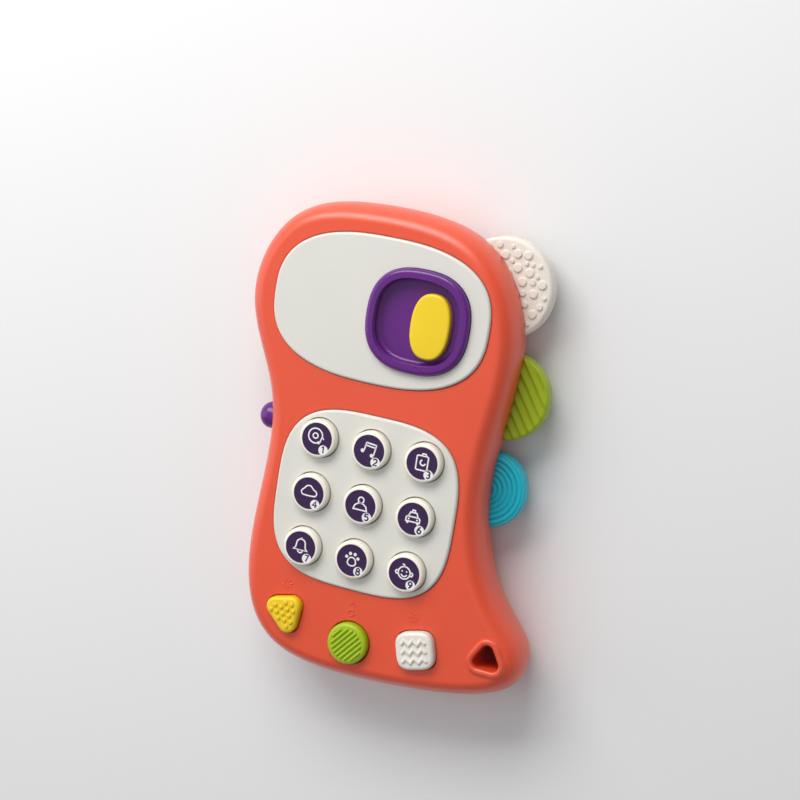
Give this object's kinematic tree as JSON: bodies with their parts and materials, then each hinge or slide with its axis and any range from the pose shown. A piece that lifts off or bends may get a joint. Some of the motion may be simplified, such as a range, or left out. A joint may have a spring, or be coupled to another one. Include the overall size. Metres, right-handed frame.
{
  "type": "toy cell phone",
  "caption": "Chunky infant toy phone with press keys, shaped buttons, a sliding knob, a side button, soft teether discs on its edge and a lanyard hole.",
  "frame": {"origin": "middle of the box round the phone, on the plane of its flat back, as it lies face up", "axes": "+Y towards the top of the phone, +X to the right of its face, +Z out of its face"},
  "size_m": [0.1098, 0.1532, 0.0275],
  "materials": {
    "housing_orange": "satin moulded plastic",
    "panel_white": "satin moulded plastic",
    "key_white": "satin moulded plastic",
    "key_print": "printed and lacquered",
    "print_white": "printed and lacquered",
    "purple": "satin moulded plastic",
    "yellow": "satin moulded plastic",
    "green": "satin moulded plastic",
    "button_white": "satin moulded plastic",
    "teether_white": "soft matte elastomer",
    "teether_green": "soft matte elastomer",
    "teether_cyan": "soft matte elastomer",
    "grey_plastic": "plain moulded plastic",
    "black_plastic": "plain moulded plastic",
    "silicone": "translucent silicone",
    "board_green": "solder mask on fibreglass",
    "steel": "zinc plated",
    "nickel": "nickel plated spring steel",
    "cell_sleeve": "printed sleeve, plain",
    "speaker_cone": "coated paper",
    "wire_red": "wire insulation",
    "wire_black": "wire insulation"
  },
  "bodies": {
    "housing": {"front_shell": "housing_orange", "rear_shell": "housing_orange", "face_panel": "panel_white", "slider_bezel": "purple", "slider_guide": "grey_plastic", "slider_switch": "black_plastic", "keypad_panel": "panel_white", "side_switch": "black_plastic", "key_mat": "silicone", "circuit_board": "board_green", "board_components": "black_plastic", "board_screws": "steel", "bump_teether": "teether_white", "ridge_teether": "teether_green", "ring_teether": "teether_cyan", "speaker_frame": "grey_plastic", "speaker_cone": "speaker_cone", "battery_door": "housing_orange", "battery_door_screw": "steel", "battery_1": "cell_sleeve", "battery_2": "cell_sleeve", "battery_3": "cell_sleeve", "battery_springs": "nickel", "battery_contacts": "nickel", "shell_screws": "steel", "battery_wires": "wire_red", "speaker_wires": "wire_black"},
    "key_1": {"key_1": "key_white"},
    "key_2": {"key_2": "key_white"},
    "key_3": {"key_3": "key_white"},
    "key_4": {"key_4": "key_white"},
    "key_5": {"key_5": "key_white"},
    "key_6": {"key_6": "key_white"},
    "key_7": {"key_7": "key_white"},
    "key_8": {"key_8": "key_white"},
    "key_9": {"key_9": "key_white"},
    "triangle_button": {"triangle_button": "yellow"},
    "round_button": {"round_button": "green"},
    "square_button": {"square_button": "button_white"},
    "side_button": {"side_button": "purple"},
    "slider": {"slider_knob": "yellow", "slider_plate": "purple"}
  },
  "joints": [
    {"name": "key_1_press", "type": "slide", "parent": "housing", "child": "key_1", "axis": [0, 0, -1], "range_m": [0, 0.0016], "stiffness_N_per_m": 400, "springref_m": -0.0015, "deforming": ["key_mat"]},
    {"name": "key_2_press", "type": "slide", "parent": "housing", "child": "key_2", "axis": [0, 0, -1], "range_m": [0, 0.0016], "stiffness_N_per_m": 400, "springref_m": -0.0015, "deforming": ["key_mat"]},
    {"name": "key_3_press", "type": "slide", "parent": "housing", "child": "key_3", "axis": [0, 0, -1], "range_m": [0, 0.0016], "stiffness_N_per_m": 400, "springref_m": -0.0015, "deforming": ["key_mat"]},
    {"name": "key_4_press", "type": "slide", "parent": "housing", "child": "key_4", "axis": [0, 0, -1], "range_m": [0, 0.0016], "stiffness_N_per_m": 400, "springref_m": -0.0015, "deforming": ["key_mat"]},
    {"name": "key_5_press", "type": "slide", "parent": "housing", "child": "key_5", "axis": [0, 0, -1], "range_m": [0, 0.0016], "stiffness_N_per_m": 400, "springref_m": -0.0015, "deforming": ["key_mat"]},
    {"name": "key_6_press", "type": "slide", "parent": "housing", "child": "key_6", "axis": [0, 0, -1], "range_m": [0, 0.0016], "stiffness_N_per_m": 400, "springref_m": -0.0015, "deforming": ["key_mat"]},
    {"name": "key_7_press", "type": "slide", "parent": "housing", "child": "key_7", "axis": [0, 0, -1], "range_m": [0, 0.0016], "stiffness_N_per_m": 400, "springref_m": -0.0015, "deforming": ["key_mat"]},
    {"name": "key_8_press", "type": "slide", "parent": "housing", "child": "key_8", "axis": [0, 0, -1], "range_m": [0, 0.0016], "stiffness_N_per_m": 400, "springref_m": -0.0015, "deforming": ["key_mat"]},
    {"name": "key_9_press", "type": "slide", "parent": "housing", "child": "key_9", "axis": [0, 0, -1], "range_m": [0, 0.0016], "stiffness_N_per_m": 400, "springref_m": -0.0015, "deforming": ["key_mat"]},
    {"name": "triangle_button_press", "type": "slide", "parent": "housing", "child": "triangle_button", "axis": [0, 0, -1], "range_m": [0, 0.0016], "stiffness_N_per_m": 400, "springref_m": -0.0015, "deforming": ["key_mat"]},
    {"name": "round_button_press", "type": "slide", "parent": "housing", "child": "round_button", "axis": [0, 0, -1], "range_m": [0, 0.0016], "stiffness_N_per_m": 400, "springref_m": -0.0015, "deforming": ["key_mat"]},
    {"name": "square_button_press", "type": "slide", "parent": "housing", "child": "square_button", "axis": [0, 0, -1], "range_m": [0, 0.0016], "stiffness_N_per_m": 400, "springref_m": -0.0015, "deforming": ["key_mat"]},
    {"name": "side_button_press", "type": "slide", "parent": "housing", "child": "side_button", "axis": [1, 0, 0], "range_m": [0, 0.0015], "stiffness_N_per_m": 400, "springref_m": -0.0015},
    {"name": "slider_slide", "type": "slide", "parent": "housing", "child": "slider", "axis": [-1, 0, 0], "range_m": [0, 0.006]}
  ]
}
